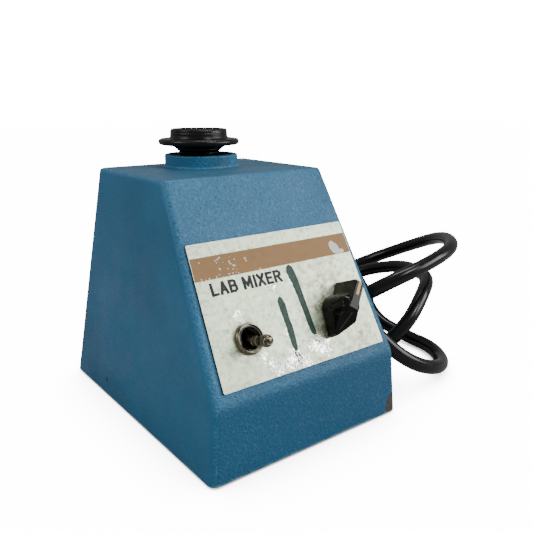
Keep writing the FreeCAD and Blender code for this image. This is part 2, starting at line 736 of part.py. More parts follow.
def plug_body():
    """A moulded plug lying on the floor behind the housing, pointing along +Y."""
    end = V(*CORD_ROUTE[-1])
    neck = Part.makeCone(5.6, 7.6, 14.0, end, V(0, 1, 0))
    for k in range(4):
        neck = neck.cut(box(-20, 20, 2.2 + 3 * k, 3.4 + 3 * k, -20, 20).cut(
            Part.makeCylinder(5.0, 40, V(0, -5, 0), V(0, 1, 0))
        ).translated(end))
    grip = box(-12.0, 12.0, 13.5, 36.0, -11.0, 11.0)
    grip = grip.makeFillet(5.0, [e for e in grip.Edges if abs(e.tangentAt(e.FirstParameter).y) > 0.9])
    shoulder = [e for e in grip.Edges if e.CenterOfMass.y < 13.6]
    grip = grip.makeFillet(2.5, shoulder).translated(end)
    face = Part.makeCylinder(12.4, 4.0, end + V(0, 35.9, 0), V(0, 1, 0))
    return neck.fuse(grip).fuse(face)


def plug_blades():
    end = V(*CORD_ROUTE[-1])
    blades = []
    for x in (-6.35, 6.35):
        blade = box(x - 0.75, x + 0.75, 39.95, 56.5, -0.8, 5.5)
        blades.append(blade.cut(Part.makeCylinder(1.6, 4, V(x - 2, 53.0, 2.4), V(1, 0, 0))).translated(end))
    pin = Part.makeCylinder(2.4, 18.5, V(0, 39.95, -6.8), V(0, 1, 0))
    blades.append(pin.makeFillet(1.2, [e for e in pin.Edges if e.CenterOfMass.y > 58]).translated(end))
    return blades


def cord_tie():
    """A thin strap round the two strands that pass under the strain relief."""
    low, high = TIE_ROUND

    def loop(r):
        across = V(high.z - low.z, 0, low.x - high.x).normalize() * r
        along = V(low.x - high.x, 0, low.z - high.z).normalize() * r
        edges = [
            Part.LineSegment(low + across, high + across).toShape(),
            Part.Arc(high + across, high - along, high - across).toShape(),
            Part.LineSegment(high - across, low - across).toShape(),
            Part.Arc(low - across, low + along, low + across).toShape(),
        ]
        return Part.Face(Part.Wire(edges)).extrude(V(0, TIE_Y[1] - TIE_Y[0], 0))

    return loop(TIE_BORE_R + TIE_T).cut(loop(TIE_BORE_R))


def terminal_block():
    block = box(30.0, 54.0, -36.0, -24.0, 3.0, 15.0)
    for k in range(4):
        x = 33.0 + 6.0 * k
        block = block.cut(cyl(2.0, 12.0, 16.0, x, -30.0))
        block = block.cut(box(x - 1.4, x + 1.4, -37, -33.5, 5.0, 8.0))
        block = block.cut(box(x - 1.4, x + 1.4, -26.5, -23, 5.0, 8.0))
    return block


def internal_wiring():
    runs = [
        [V(48, 52, 36), V(46, 36, 26), V(47.5, 6, 13), V(46, -15, 8), V(45, -23.5, 6.5)],
        [V(48, 48, 34), V(45, 32, 23), V(43, 2, 14), V(40, -14, 8), V(39, -23.5, 6.5)],
        [
            V(33, -36.5, 6.5), V(30, -50, 9), V(8, -52, 14),
            V(-16, -38, 20), V(-29, -28, 25), V(-30, -43.6, 38.0),
        ],
        [V(45, -36.5, 6.5), V(45, -46, 9), V(43, -54, 16), V(38, -58, 27), V(34.8, -61.8, 38.3)],
    ]
    return [tube(run, 2.4)[0] for run in runs]


def main():
    os.makedirs("parts", exist_ok=True)

    save("cast_housing", cast_housing())
    save("base_plate", base_plate())
    save("rubber_feet", *[rubber_foot(x, y) for x, y in four(FOOT_X, -FOOT_Y, FOOT_Y)])
    save("base_screws", *[
        pan_screw(x, y, 3.0, (0.35, PLATE_Z[0]), 1.45, 13.0) for x, y in four(BASE_SCREW_X, *BASE_SCREW_Y)
    ])
    save("panel_plate", panel_plate())
    save("toggle_switch_body", toggle_switch_body())
    save("toggle_lock_nut", toggle_lock_nut())
    save("toggle_dress_nut", toggle_dress_nut())
    save("toggle_lever", toggle_lever())
    save("speed_control_body", speed_control_body())
    save("speed_control_nut", speed_control_nut())
    save("speed_control_shaft", speed_control_shaft())
    save("speed_knob", speed_knob())
    save("knob_indicator_line", *knob_indicator_line())
    save("knob_set_screw", knob_set_screw())

    save("plunger_guide", plunger_guide())
    save("thrust_plunger", thrust_plunger())
    save("thrust_ball", thrust_ball())
    save("return_spring", return_spring())
    save("touch_switch", touch_switch())
    save("touch_switch_screws", *touch_switch_screws())
    save("touch_switch_button", touch_switch_button())

    save("motor_posts", *motor_posts())
    save("motor_post_screws", *[
        pan_screw(x, y, 2.9, (0.35, PLATE_Z[0]), 1.5, 9.0) for x, y in around_spindle(POST_DX, POST_DY)
    ])
    save("motor_grommets", *motor_grommets())
    save("motor_mount_screws", *motor_mount_screws())
    save("lower_bracket", lower_bracket())
    save("upper_bracket", upper_bracket())
    save("lower_bearing", bearing(24.0, 33.0))
    save("upper_bearing", bearing(87.0, UPPER_BOSS_Z))
    save("stator_core", stator_core())
    save("field_coils", *field_coils())
    save("motor_spacers", *motor_spacers())
    save("motor_bolts", *motor_bolts())
    save("motor_nuts", *motor_nuts())
    save("motor_shaft", motor_shaft())
    save("rotor_core", rotor_core())
    save("cooling_fan", cooling_fan())

    save("eccentric_hub", eccentric_hub())
    save("eccentric_set_screw", eccentric_set_screw())
    save("pin_retaining_ring", pin_retaining_ring())
    save("cup_bushing", cup_bushing())
    save("cup_holder", cup_holder())
    save("splash_disc", splash_disc())
    save("rubber_cup", rubber_cup())

    save("strain_relief", strain_relief())
    save("terminal_block", terminal_block())
    save("internal_wiring", *internal_wiring())
    save("power_cord", power_cord())
    save("plug_body", plug_body())
    save("plug_blades", *plug_blades())
    save("cord_tie", cord_tie())


main()
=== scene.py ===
import json
import math
import random

import bmesh
import bpy
from mathutils import Matrix, Vector


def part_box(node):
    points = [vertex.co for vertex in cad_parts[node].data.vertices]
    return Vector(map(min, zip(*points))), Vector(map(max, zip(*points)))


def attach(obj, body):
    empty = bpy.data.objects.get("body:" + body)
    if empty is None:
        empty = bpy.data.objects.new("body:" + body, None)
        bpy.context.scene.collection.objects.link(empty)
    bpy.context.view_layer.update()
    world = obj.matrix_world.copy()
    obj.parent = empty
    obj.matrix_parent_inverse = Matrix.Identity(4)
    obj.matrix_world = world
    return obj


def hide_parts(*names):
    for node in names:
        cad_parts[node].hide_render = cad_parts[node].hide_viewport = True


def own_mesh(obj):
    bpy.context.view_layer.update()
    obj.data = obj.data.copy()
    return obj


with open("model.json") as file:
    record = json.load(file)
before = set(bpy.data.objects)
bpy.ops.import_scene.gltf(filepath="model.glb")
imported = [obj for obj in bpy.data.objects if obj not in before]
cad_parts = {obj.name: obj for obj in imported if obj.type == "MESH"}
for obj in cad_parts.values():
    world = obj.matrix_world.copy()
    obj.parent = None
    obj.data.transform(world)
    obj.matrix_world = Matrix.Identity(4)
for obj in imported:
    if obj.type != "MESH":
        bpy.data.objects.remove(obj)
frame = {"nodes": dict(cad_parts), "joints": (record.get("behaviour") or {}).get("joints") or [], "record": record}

# Vortex mixer. Metres, in the CAD's frame: +Z up, the sloped panel faces -Y.

MM = 0.001
random.seed(7)
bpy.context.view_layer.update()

scene = bpy.context.scene
nodes = frame["nodes"]
joints = {joint["name"]: joint for joint in frame["joints"]}

# ---------------------------------------------------------------- places taken from the frame

KNOB_AT = Vector(joints["speed_turn"]["pos_m"])
OUTWARD = -Vector(joints["speed_turn"]["axis"]).normalized()
ACROSS = Vector((1, 0, 0))
UPSLOPE = OUTWARD.cross(ACROSS)

# Places on the panel in millimetres: x across, s up the slope, h outward from the casting.
KNOB_X = KNOB_AT.x / MM
KNOB_S = 29.5
KNOB_H = 5.0
KNOB_TURN = math.radians(55.0)
TOGGLE_X = -30.8
TOGGLE_S = 27.5
TOGGLE_LEAN = math.radians(11.0)
TOGGLE_AT = Vector(joints["toggle_switch"]["pos_m"])
PIN_AT = Vector(joints["cup_orbit"]["pos_m"])
HOUSING_LOW, HOUSING_HIGH = (Vector(corner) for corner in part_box("cast_housing"))
PLATE_FACE = 1.0

# The plate's lower and upper edge: how far up the slope, and how wide.
PLATE_LOW = (6.5, 103.7)
PLATE_HIGH = (77.0, 98.7)


def on_panel(x, s, h):
    """A place on the sloped panel, in millimetres: across, up the slope, outward."""
    return KNOB_AT + ((x - KNOB_X) * ACROSS + (s - KNOB_S) * UPSLOPE + (h - KNOB_H) * OUTWARD) * MM


PANEL_TURN = Matrix((ACROSS, UPSLOPE, OUTWARD)).transposed().to_4x4()


# ---------------------------------------------------------------- camera

# The lens, place and angles were fitted to the housing's corners together with its proportions.
LENS = 40.81
CAMERA_AT = (-0.1850, -0.2842, 0.1702)
CAMERA_TILT = math.radians(90 - 15.35)
CAMERA_TURN = math.radians(-37.33)


def add_camera():
    data = bpy.data.cameras.new("camera")
    data.sensor_width = 36.0
    data.lens = LENS
    data.clip_start = 0.01
    data.dof.use_dof = False
    camera = bpy.data.objects.new("camera", data)
    camera.location = CAMERA_AT
    camera.rotation_euler = (CAMERA_TILT, 0.0, CAMERA_TURN)
    scene.collection.objects.link(camera)
    scene.camera = camera


add_camera()


# ---------------------------------------------------------------- materials


class Graph:
    """Short calls for building one material out of nodes."""

    def __init__(self, name):
        self.material = bpy.data.materials.new(name)
        self.material.use_nodes = True
        self.tree = self.material.node_tree
        self.shader = self.tree.nodes["Principled BSDF"]
        self.place = self.node("ShaderNodeTexCoord").outputs["Object"]

    def node(self, kind, **settings):
        made = self.tree.nodes.new(kind)
        for key, value in settings.items():
            setattr(made, key, value)
        return made

    def put(self, value, socket):
        if isinstance(value, bpy.types.NodeSocket):
            self.tree.links.new(value, socket)
        else:
            socket.default_value = value

    def set(self, **values):
        """Sets the shader's own sockets: Base_Color means Base Color."""
        for key, value in values.items():
            self.put(value, self.shader.inputs[key.replace("_", " ")])

    def maths(self, operation, a, b=0.0):
        made = self.node("ShaderNodeMath", operation=operation)
        self.put(a, made.inputs[0])
        self.put(b, made.inputs[1])
        return made.outputs[0]

    def scaled(self, factors):
        made = self.node("ShaderNodeMapping")
        self.put(self.place, made.inputs["Vector"])
        made.inputs["Scale"].default_value = factors
        return made.outputs[0]

    def noise(self, scale, detail=3.0, rough=0.5, twist=0.0, place=None):
        made = self.node("ShaderNodeTexNoise")
        self.put(place or self.place, made.inputs["Vector"])
        made.inputs["Scale"].default_value = scale
        made.inputs["Detail"].default_value = detail
        made.inputs["Roughness"].default_value = rough
        made.inputs["Distortion"].default_value = twist
        return made.outputs[0]

    def cells(self, scale):
        made = self.node("ShaderNodeTexVoronoi", feature="SMOOTH_F1")
        self.put(self.place, made.inputs["Vector"])
        made.inputs["Scale"].default_value = scale
        return made.outputs["Distance"]

    def ramp(self, value, low, high, out_low=0.0, out_high=1.0):
        """Smooth step of value from low to high."""
        made = self.node("ShaderNodeMapRange", interpolation_type="SMOOTHSTEP")
        self.put(value, made.inputs["Value"])
        made.inputs["From Min"].default_value = low
        made.inputs["From Max"].default_value = high
        made.inputs["To Min"].default_value = out_low
        made.inputs["To Max"].default_value = out_high
        return made.outputs[0]

    def blend(self, amount, a, b):
        made = self.node("ShaderNodeMix", data_type="RGBA")
        self.put(amount, made.inputs[0])
        for value, socket in ((a, made.inputs[6]), (b, made.inputs[7])):
            self.put(value if isinstance(value, bpy.types.NodeSocket) else (*value, 1.0), socket)
        return made.outputs[2]

    def bump(self, height, distance, strength=1.0, under=None):
        made = self.node("ShaderNodeBump")
        self.put(height, made.inputs["Height"])
        made.inputs["Distance"].default_value = distance
        made.inputs["Strength"].default_value = strength
        if under is not None:
            self.put(under, made.inputs["Normal"])
        return made.outputs[0]

    def axis(self, index, vector=None):
        made = self.node("ShaderNodeSeparateXYZ")
        self.put(vector or self.place, made.inputs[0])
        return made.outputs[index]

    def normal(self):
        return self.node("ShaderNodeNewGeometry").outputs["Normal"]

    def along(self, vector, direction):
        """How far a vector reaches in a direction."""
        made = self.node("ShaderNodeVectorMath", operation="DOT_PRODUCT")
        self.put(vector, made.inputs[0])
        made.inputs[1].default_value = direction
        return made.outputs["Value"]

    def edges(self, radius, sharp=0.12):
        """1 along the piece's edges, 0 away from them."""
        soft = self.node("ShaderNodeBevel", samples=4)
        soft.inputs["Radius"].default_value = radius
        made = self.node("ShaderNodeVectorMath", operation="DOT_PRODUCT")
        self.put(soft.outputs[0], made.inputs[0])
        self.put(self.normal(), made.inputs[1])
        return self.ramp(made.outputs["Value"], 1.0, 1.0 - sharp)

    def near(self, centre, low, high):
        """1 within low of a place, falling to 0 at high."""
        made = self.node("ShaderNodeVectorMath", operation="DISTANCE")
        self.put(self.place, made.inputs[0])
        made.inputs[1].default_value = centre
        return self.ramp(made.outputs["Value"], low, high, 1.0, 0.0)

    def times(self, *values):
        result = values[0]
        for value in values[1:]:
            result = self.maths("MULTIPLY", result, value)
        return result

    def most(self, *values):
        result = values[0]
        for value in values[1:]:
            result = self.maths("MAXIMUM", result, value)
        return result


BLUE = (0.036, 0.176, 0.335)
BLUE_DEEP = (0.014, 0.085, 0.175)
BLUE_LIGHT = (0.050, 0.225, 0.410)
SHEET_LEAN = math.radians(-60.5)


def enamel():
    """Thick grained enamel on the casting: smoother on the sides, rubbed and chipped along the edges. Its colour
    carries painted highlights on the grain's tops, painted shade in the grain's hollows, and painted shade on the
    front and top faces.
    """
    g = Graph("blue_enamel")
    facing = g.normal()
    sideways = g.ramp(g.maths("ABSOLUTE", g.axis(0, facing)), 0.55, 0.9)
    grain = g.maths("ADD", g.times(g.cells(820), 0.55), g.times(g.noise(1150, 3.0, 0.6), 0.7))
    clouds = g.noise(22, 4.0, 0.6)
    color = g.blend(g.times(g.ramp(clouds, 0.35, 0.7), 0.55), BLUE, BLUE_LIGHT)
    color = g.blend(g.times(g.ramp(g.noise(9, 3.0), 0.35, 0.65), 0.45), color, BLUE_DEEP)
    # Painted highlight: the grain's high points are lightened, less on the sides.
    grain_painted_highlight = g.times(g.ramp(grain, 0.60, 0.78), g.ramp(sideways, 0, 1, 0.30, 0.05))
    color = g.blend(grain_painted_highlight, color, (0.13, 0.38, 0.55))
    # Painted shade: the grain's hollows are darkened, less on the sides.
    grain_painted_shade = g.times(g.ramp(grain, 0.50, 0.34), g.ramp(sideways, 0, 1, 0.55, 0.15))
    color = g.blend(grain_painted_shade, color, (0.008, 0.050, 0.105))
    # Painted shade: faces turned to the front are darkened towards the deep blue, and the top face towards a
    # greyer dark blue.
    front = g.ramp(g.axis(1, facing), -0.9, -0.985)
    color = g.blend(g.times(front, 0.55), color, BLUE_DEEP)
    top = g.ramp(g.axis(2, facing), 0.9, 0.98)
    color = g.blend(g.times(top, 0.5), color, (0.035, 0.085, 0.110))

    ragged = g.noise(330, 4.0, 0.7)
    edge = g.edges(1.0 * MM, 0.10)
    rubbed = g.times(edge, g.ramp(ragged, 0.45, 0.68))
    color = g.blend(g.times(rubbed, 0.55), color, (0.16, 0.34, 0.44))
    low = g.ramp(g.axis(2), 2.8 * MM, 1.5 * MM)
    color = g.blend(g.times(low, g.ramp(g.noise(160, 3.0), 0.35, 0.6), 0.6), color, (0.22, 0.36, 0.44))

    corner = Vector((HOUSING_HIGH.x, HOUSING_LOW.y, HOUSING_LOW.z))
    far = g.near(corner + Vector((-0.001, 0.0, 0.004)), 4.0 * MM, 12.0 * MM)
    chips = g.ramp(g.maths("ADD", far, g.times(ragged, 0.55)), 0.72, 0.82)
    left_chip = g.near((HOUSING_LOW.x + 0.001, 0.035, 0.010), 0.6 * MM, 3.4 * MM)
    chips = g.most(chips, g.ramp(g.maths("ADD", left_chip, g.times(ragged, 0.6)), 0.86, 0.95))
    specks = g.times(g.ramp(g.noise(240, 2.0, 0.5), 0.735, 0.75), g.ramp(g.axis(2), 30 * MM, 5 * MM))
    bare = g.most(chips, specks)
    color = g.blend(bare, color, g.blend(g.noise(700, 3.0), (0.05, 0.05, 0.055), (0.17, 0.17, 0.175)))

    coarse = g.bump(grain, 0.50 * MM, 1.0)
    smooth = g.bump(grain, 0.08 * MM, 0.4)
    mixed = g.node("ShaderNodeMix", data_type="VECTOR")
    g.put(sideways, mixed.inputs[0])
    g.put(coarse, mixed.inputs[4])
    g.put(smooth, mixed.inputs[5])
    dented = g.bump(g.maths("SUBTRACT", 1.0, bare), 0.15 * MM, 0.8, mixed.outputs[1])
    g.set(Base_Color=color, Normal=dented, Metallic=g.times(bare, 0.6))
    g.set(Roughness=g.ramp(g.noise(60, 3.0), 0.3, 0.7, 0.36, 0.50), Specular_IOR_Level=0.34)
    return g.material


# Rubbed patches of the plate: x, s, bare within, and untouched beyond, in millimetres.
BARE_PATCHES = (
    (-24.5, 17.0, 0.5, 6.0), (-21.5, 13.0, 1, 6.0), (-18.5, 9.5, 1, 6.5), (-10, 11, 2, 8.0),
    (-7.5, 15.0, 1, 7.0), (6.5, 15.5, 1, 8.0), (11, 12, 1, 7.0), (-2, 9, 1, 7.0),
    (-33.5, 40, 0.5, 5.0), (-31, 36.5, 0.2, 3.6), (3, 50, 0.3, 4.0), (-8, 49, 0.3, 3.0),
    (-9, 26, 0.3, 4.0), (14, 16, 0.5, 6.0),
)


def panel_metal():
    """Satin sheet gone dull and spotted, rubbed bare in streaks below the switch and the two marks, with a painted
    highlight along the face's edges and painted shade on its side faces.
    """
    g = Graph("panel_metal")
    face = g.ramp(g.along(g.normal(), OUTWARD), 0.90, 0.97)
    blotch = g.noise(75, 5.0, 0.65, 0.4)
    color = g.blend(g.ramp(blotch, 0.34, 0.66), (0.68, 0.80, 0.56), (0.88, 0.98, 0.78))
    fine = g.noise(430, 5.0, 0.72)
    color = g.blend(g.times(g.ramp(fine, 0.46, 0.66), 0.85), color, (0.46, 0.52, 0.35))
    specks = g.ramp(g.noise(950, 2.0, 0.5), 0.68, 0.75)
    color = g.blend(g.times(specks, 0.8), color, (0.15, 0.12, 0.06))
    dirt = g.noise(200, 5.0, 0.72)
    for centre, low, high in (
        (on_panel(KNOB_X - 5, KNOB_S + 1, PLATE_FACE), 8.0, 16.0),
        (on_panel(KNOB_X, KNOB_S + 14, PLATE_FACE), 6.0, 30.0),
        (on_panel(TOGGLE_X, TOGGLE_S, PLATE_FACE), 7.0, 12.5),
        (on_panel(38, 12, PLATE_FACE), 2.0, 18.0),
        (on_panel(10, 14, PLATE_FACE), 2.0, 15.0),
    ):
        grime = g.times(g.near(centre, low * MM, high * MM), g.ramp(dirt, 0.42, 0.66))
        color = g.blend(g.times(grime, 0.7), color, (0.23, 0.19, 0.10))

    slanted = g.node("ShaderNodeMapping")
    g.put(g.place, slanted.inputs["Vector"])
    slanted.inputs["Rotation"].default_value = (SHEET_LEAN, 0.0, math.radians(8))
    slanted.inputs["Scale"].default_value = (620, 230, 430)
    flaked = g.ramp(g.noise(1.0, 6.0, 0.72, 1.6, slanted.outputs[0]), 0.3, 0.7, -0.55, 0.55)
    bare = None
    for x, s, near, reach in BARE_PATCHES:
        spot = g.near(on_panel(x, s, PLATE_FACE), near * MM, reach * MM)
        spot = g.ramp(g.maths("ADD", g.times(spot, 0.62), flaked), 0.50, 0.57)
        bare = spot if bare is None else g.most(bare, spot)
    rim_of_bare = g.times(g.ramp(bare, 0.02, 0.3), g.ramp(bare, 0.95, 0.5))
    color = g.blend(g.times(bare, 0.95), color, (0.97, 0.99, 0.96))
    color = g.blend(g.times(rim_of_bare, 0.8), color, (0.20, 0.22, 0.19))

    turned = g.node("ShaderNodeMapping")
    g.put(g.place, turned.inputs["Vector"])
    turned.inputs["Rotation"].default_value = (0.5, 0.3, 0.9)
    turned.inputs["Scale"].default_value = (30, 900, 900)
    scratch = g.ramp(g.noise(1.0, 2.0, 0.4, 0.3, turned.outputs[0]), 0.70, 0.74)
    color = g.blend(g.times(scratch, 0.5), color, (0.88, 0.92, 0.84))
    # Painted highlight: a pale line along the edges of the plate's face.
    edge = g.times(g.edges(0.35 * MM, 0.15), face)
    color = g.blend(g.times(edge, 0.8), color, (0.92, 0.95, 0.90))
    # Painted shade: the plate's side faces are coloured near-black.
    plate_side_painted_shade = g.blend(g.noise(500, 2.0), (0.010, 0.010, 0.010), (0.06, 0.055, 0.05))
    color = g.blend(face, plate_side_painted_shade, color)
    height = g.maths("ADD", g.times(g.noise(1400, 2.0), 0.4), g.times(bare, 0.8))
    patchy = g.maths("ADD", g.times(blotch, 0.6), g.times(g.noise(300, 3.0), 0.4))
    rough = g.ramp(patchy, 0.35, 0.65, 0.34, 0.52)
    rough = g.maths("SUBTRACT", rough, g.times(bare, 0.2))
    sheet = g.maths("ADD", g.ramp(face, 0, 1, 0.2, 0.55), g.times(bare, 0.35))
    g.set(Base_Color=color, Metallic=sheet, Roughness=rough)
    g.set(Normal=g.bump(height, 0.05 * MM, 0.6))
    return g.material


def metal(name, dark, light, rough=(0.25, 0.45), grain=(500, 500, 500), dirt=0.35, metallic=1.0, depth=0.03):
    """Metal with fine grain, uneven tarnish and bright edges."""
    g = Graph(name)
    tarnish = g.ramp(g.noise(160, 4.0, 0.6), 0.35, 0.68)
    color = g.blend(tarnish, light, dark)
    fine = g.noise(1.0, 3.0, 0.6, place=g.scaled(grain))
    color = g.blend(g.times(g.ramp(fine, 0.45, 0.7), dirt), color, tuple(0.35 * v for v in dark))
    bright = g.times(g.edges(0.35 * MM, 0.15), g.ramp(g.noise(700, 2.0), 0.3, 0.6))
    color = g.blend(g.times(bright, 0.5), color, tuple(min(1.0, 1.25 * v) for v in light))
    g.set(Base_Color=color, Metallic=metallic, Roughness=g.ramp(fine, 0.3, 0.7, *rough))
    g.set(Normal=g.bump(fine, depth * MM, 0.6))
    return g.material


def moulded(name, color, worn, rough=(0.3, 0.45), grain=800, depth=0.03, shine=0.4, dust=0.12, edge=0.4):
    """Moulded plastic, phenolic or rubber with a fine surface and paler rubbed edges."""
    g = Graph(name)
    fine = g.noise(grain, 3.0, 0.6)
    base = g.blend(g.times(g.ramp(g.noise(90, 4.0, 0.6), 0.4, 0.7), 0.5), color, worn)
    dusty = g.times(g.ramp(g.noise(260, 5.0, 0.7), 0.55, 0.8), dust)
    base = g.blend(dusty, base, (0.20, 0.18, 0.15))
    rubbed = g.times(g.edges(0.5 * MM, 0.18), g.ramp(g.noise(420, 3.0), 0.4, 0.62))
    base = g.blend(g.times(rubbed, edge), base, tuple(min(1.0, 2.2 * v + 0.02) for v in worn))
    g.set(Base_Color=base, Roughness=g.ramp(g.noise(130, 4.0, 0.6), 0.3, 0.7, *rough))
    g.set(Specular_IOR_Level=shine)
    g.set(Normal=g.bump(fine, depth * MM, 0.6))
    return g.material


def laminated():
    """Thin stacked sheets with an oiled face."""
    g = Graph("laminated_steel")
    stripes = g.maths("SINE", g.times(g.axis(2), 2 * math.pi / (0.65 * MM)))
    fine = g.noise(300, 4.0, 0.6)
    color = g.blend(g.ramp(stripes, -0.6, 0.4), (0.10, 0.10, 0.11), (0.30, 0.30, 0.32))
    color = g.blend(g.times(g.ramp(fine, 0.45, 0.7), 0.6), color, (0.20, 0.12, 0.07))
    g.set(Base_Color=color, Metallic=0.85, Roughness=g.ramp(fine, 0.3, 0.7, 0.35, 0.6))
    g.set(Normal=g.bump(stripes, 0.05 * MM, 0.5))
    return g.material


def wound(name, dark, light):
    """Varnished turns of fine wire."""
    g = Graph(name)
    turns = g.maths("SINE", g.times(g.axis(0), 2 * math.pi / (0.55 * MM)))
    fine = g.noise(200, 4.0, 0.6)
    color = g.blend(g.ramp(turns, -0.5, 0.7), dark, light)
    color = g.blend(g.times(g.ramp(fine, 0.45, 0.75), 0.5), color, (0.10, 0.04, 0.02))
    g.set(Base_Color=color, Metallic=0.5, Roughness=g.ramp(fine, 0.3, 0.7, 0.25, 0.45), Coat_Weight=0.5)
    g.set(Normal=g.bump(turns, 0.10 * MM, 0.7))
    return g.material


def printed(name, ink, under, wear=0.64, rough=0.5):
    """A thin printed or painted film, speckled through to the colour under it."""
    g = Graph(name)
    fine = g.noise(520, 5.0, 0.75, 0.3)
    broad = g.noise(95, 4.0, 0.6)
    color = g.blend(g.times(g.ramp(broad, 0.35, 0.7), 0.5), ink, tuple(0.80 * v + 0.02 for v in ink))
    color = g.blend(g.ramp(fine, wear, wear + 0.06), color, under)
    g.set(Base_Color=color, Roughness=g.ramp(fine, 0.3, 0.7, rough - 0.1, rough + 0.1))
    g.set(Normal=g.bump(fine, 0.02 * MM, 0.5), Specular_IOR_Level=0.3)
    return g.material


SLOT_LOOKS = {
    "blue_enamel": enamel(),
    "panel_aluminium": panel_metal(),
    "steel_zinc": metal("zinc_plate", (0.42, 0.42, 0.40), (0.62, 0.62, 0.60)),
    "steel_black": metal("blackened_steel", (0.02, 0.02, 0.02), (0.06, 0.06, 0.065), metallic=0.7),
    "steel_bare": metal("ground_steel", (0.38, 0.38, 0.38), (0.60, 0.60, 0.60), grain=(300, 300, 1500)),
    "chrome_worn": metal(
        "worn_plating", (0.055, 0.048, 0.032), (0.30, 0.27, 0.20), rough=(0.20, 0.42), dirt=0.5),
    "brass": metal("dull_brass", (0.42, 0.30, 0.12), (0.72, 0.56, 0.28)),
    "sintered_bronze": metal("sintered_bronze", (0.30, 0.18, 0.08), (0.52, 0.34, 0.18), rough=(0.45, 0.7)),
    "aluminium_cast": metal(
        "cast_aluminium", (0.44, 0.45, 0.46), (0.66, 0.67, 0.68), rough=(0.4, 0.6), depth=0.08),
    "lamination_steel": laminated(),
    "copper_winding": wound("copper_winding", (0.28, 0.09, 0.03), (0.62, 0.28, 0.12)),
    "black_phenolic": moulded(
        "black_phenolic", (0.002, 0.002, 0.0013), (0.006, 0.005, 0.003), (0.08, 0.16),
        shine=0.22, dust=0.05, edge=0.25),
    "grey_plastic": moulded("grey_plastic", (0.12, 0.12, 0.12), (0.18, 0.18, 0.175)),
    "black_plastic": moulded(
        "black_plastic", (0.010, 0.010, 0.010), (0.020, 0.020, 0.019), (0.35, 0.5), shine=0.3),
    "cream_inlay": moulded("cream_inlay", (0.80, 0.47, 0.20), (0.85, 0.58, 0.30), (0.35, 0.5), dust=0.3),
    "black_rubber": moulded(
        "black_rubber", (0.003, 0.003, 0.003), (0.008, 0.008, 0.007), (0.20, 0.34), depth=0.05, shine=0.36),
    "cord_rubber": moulded(
        "cord_rubber", (0.002, 0.002, 0.0025), (0.005, 0.005, 0.006), (0.16, 0.26), 260, 0.08,
        shine=0.42, dust=0.04),
    "wire_insulation": moulded("wire_insulation", (0.30, 0.03, 0.02), (0.42, 0.06, 0.04)),
}


def dress_cad_nodes():
    for part in frame["record"]["subparts"]:
        mesh = nodes[part["node"]].data
        mesh.materials.clear()
        mesh.materials.append(SLOT_LOOKS[part["material_slot"]])


dress_cad_nodes()


# ---------------------------------------------------------------- small mesh helpers


def new_piece(name, mesh, body, slot, material=None):
    """Puts a mesh in the scene as a named piece on a body."""
    piece = bpy.data.objects.new(name, mesh)
    scene.collection.objects.link(piece)
    mesh.materials.clear()
    mesh.materials.append(material or SLOT_LOOKS[slot])
    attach(piece, body)
    return piece


def finished(bm, name, smooth=True):
    bmesh.ops.recalc_face_normals(bm, faces=bm.faces)
    mesh = bpy.data.meshes.new(name)
    bm.to_mesh(mesh)
    bm.free()
    if smooth:
        mesh.shade_smooth()
    return mesh


def turned(name, outline, steps=96, place=Matrix()):
    """A (radius, height) outline in millimetres turned about its upright axis, then placed."""
    bm = bmesh.new()
    rows = []
    for radius, height in outline:
        if radius < 1e-6:
            rows.append([bm.verts.new((0, 0, height * MM))] * steps)
            continue
        row = []
        for k in range(steps):
            a = 2 * math.pi * k / steps
            row.append(bm.verts.new((radius * MM * math.cos(a), radius * MM * math.sin(a), height * MM)))
        rows.append(row)
    for low, high in zip(rows, rows[1:]):
        for k in range(steps):
            j = (k + 1) % steps
            corners = []
            for vert in (low[k], low[j], high[j], high[k]):
                if vert not in corners:
                    corners.append(vert)
            if len(corners) > 2:
                bm.faces.new(corners)
    bmesh.ops.transform(bm, matrix=place, verts=bm.verts)
    return finished(bm, name)


def eased(points, steps=6):
    """A smooth outline through the middle of each stretch between points, ends kept."""
    line = [points[0]]
    for before, corner, after in zip(points, points[1:], points[2:]):
        start = [(a + b) / 2 for a, b in zip(before, corner)]
        end = [(a + b) / 2 for a, b in zip(corner, after)]
        for k in range(steps):
            t = k / (steps - 1)
            first, middle, last = (1 - t) ** 2, 2 * t * (1 - t), t * t
            line.append([first * a + middle * b + last * c for a, b, c in zip(start, corner, end)])
    return line + [points[-1]]


def slab(bm, outline, low, high):
    """A closed prism on the panel between two heights. The outline is (x, s) in millimetres."""
    foot = [bm.verts.new(on_panel(x, s, low)) for x, s in outline]
    top = [bm.verts.new(on_panel(x, s, high)) for x, s in outline]
    bm.faces.new(top)
    bm.faces.new(foot[::-1])
    count = len(outline)
    for k in range(count):
        j = (k + 1) % count
        bm.faces.new((foot[k], foot[j], top[j], top[k]))


FILM_GAP = 0.004


def film(name, outline, thickness=0.03, height=PLATE_FACE):
    """A thin closed shape lying on the panel plate, FILM_GAP clear of what is under it."""
    bm = bmesh.new()
    slab(bm, outline, height + FILM_GAP, height + thickness)
    bmesh.ops.triangulate(bm, faces=[f for f in bm.faces if len(f.verts) > 4])
    return finished(bm, name, smooth=False)
